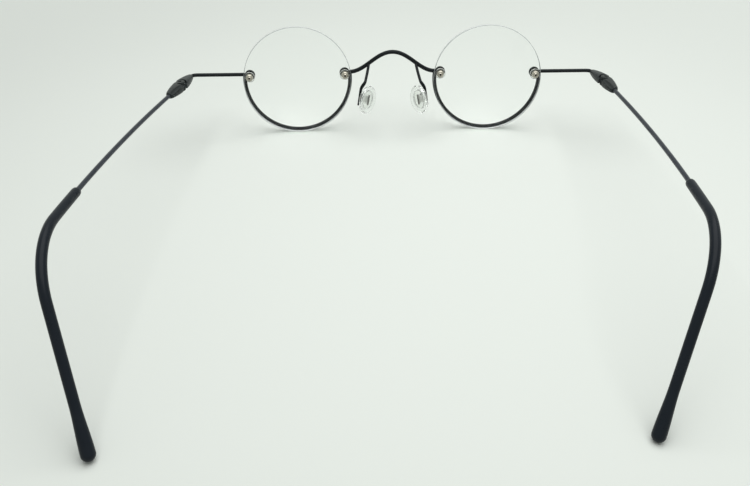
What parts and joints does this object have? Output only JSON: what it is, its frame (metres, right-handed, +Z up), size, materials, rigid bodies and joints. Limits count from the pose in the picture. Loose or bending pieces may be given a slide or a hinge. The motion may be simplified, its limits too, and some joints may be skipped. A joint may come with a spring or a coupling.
{
  "type": "reading glasses",
  "caption": "Round half-rim reading glasses: bolted lenses on a wire front with an arched bridge, rocking silicone nose pads and folding wire temples with sleeved tips.",
  "frame": {"origin": "on the table under the middle of the open glasses as they rest", "axes": "+X to the wearer's left, +Y from the lenses towards the temple tips, +Z up"},
  "size_m": [0.1502, 0.1416, 0.0365],
  "materials": {
    "dark_metal": "satin blue-black",
    "hinge_metal": "matte gunmetal",
    "nickel": "bright",
    "lens": "clear",
    "clear_plastic": "clear",
    "silicone": "clear, soft",
    "sleeve": "satin black"
  },
  "bodies": {
    "front": {"bridge": "dark_metal", "rim_left": "dark_metal", "rim_right": "dark_metal", "endpiece_left": "dark_metal", "endpiece_right": "dark_metal", "eyelet_nasal_left": "dark_metal", "eyelet_temporal_left": "dark_metal", "eyelet_nasal_right": "dark_metal", "eyelet_temporal_right": "dark_metal", "pad_arm_left": "dark_metal", "pad_arm_right": "dark_metal", "pad_box_left": "dark_metal", "pad_box_right": "dark_metal", "hinge_front_left": "hinge_metal", "hinge_front_right": "hinge_metal", "lens_screw_nasal_left": "nickel", "lens_screw_temporal_left": "nickel", "lens_screw_nasal_right": "nickel", "lens_screw_temporal_right": "nickel", "lens_nut_nasal_left": "nickel", "lens_nut_temporal_left": "nickel", "lens_nut_nasal_right": "nickel", "lens_nut_temporal_right": "nickel", "pad_screw_left": "nickel", "pad_screw_right": "nickel", "lens_left": "lens", "lens_right": "lens", "lens_bushing_nasal_left": "clear_plastic", "lens_bushing_temporal_left": "clear_plastic", "lens_bushing_nasal_right": "clear_plastic", "lens_bushing_temporal_right": "clear_plastic"},
    "temple_left": {"hinge_temple_left": "hinge_metal", "hinge_screw_left": "nickel", "temple_wire_left": "dark_metal", "temple_tip_left": "sleeve"},
    "temple_right": {"hinge_temple_right": "hinge_metal", "hinge_screw_right": "nickel", "temple_wire_right": "dark_metal", "temple_tip_right": "sleeve"},
    "pad_left": {"nose_pad_left": "silicone", "pad_core_left": "clear_plastic", "pad_stud_left": "nickel"},
    "pad_right": {"nose_pad_right": "silicone", "pad_core_right": "clear_plastic", "pad_stud_right": "nickel"}
  },
  "joints": [
    {"name": "temple_left_fold", "type": "hinge", "parent": "front", "child": "temple_left", "pos_m": [0.06486, -0.05645, 0.02188], "axis": [0, -0.1299, 0.9915], "range_deg": [0, 91]},
    {"name": "temple_right_fold", "type": "hinge", "parent": "front", "child": "temple_right", "pos_m": [-0.07307, -0.05645, 0.02188], "axis": [0, 0.1299, -0.9915], "range_deg": [-8.7, 86.8]},
    {"name": "pad_left_rock", "type": "hinge", "parent": "front", "child": "pad_left", "pos_m": [0.0061, -0.06143, 0.01427], "axis": [0.7323, 0.5997, 0.3226], "range_deg": [-10, 10]},
    {"name": "pad_right_rock", "type": "hinge", "parent": "front", "child": "pad_right", "pos_m": [-0.01431, -0.06143, 0.01427], "axis": [0.7323, -0.5997, -0.3226], "range_deg": [-10, 10]}
  ]
}
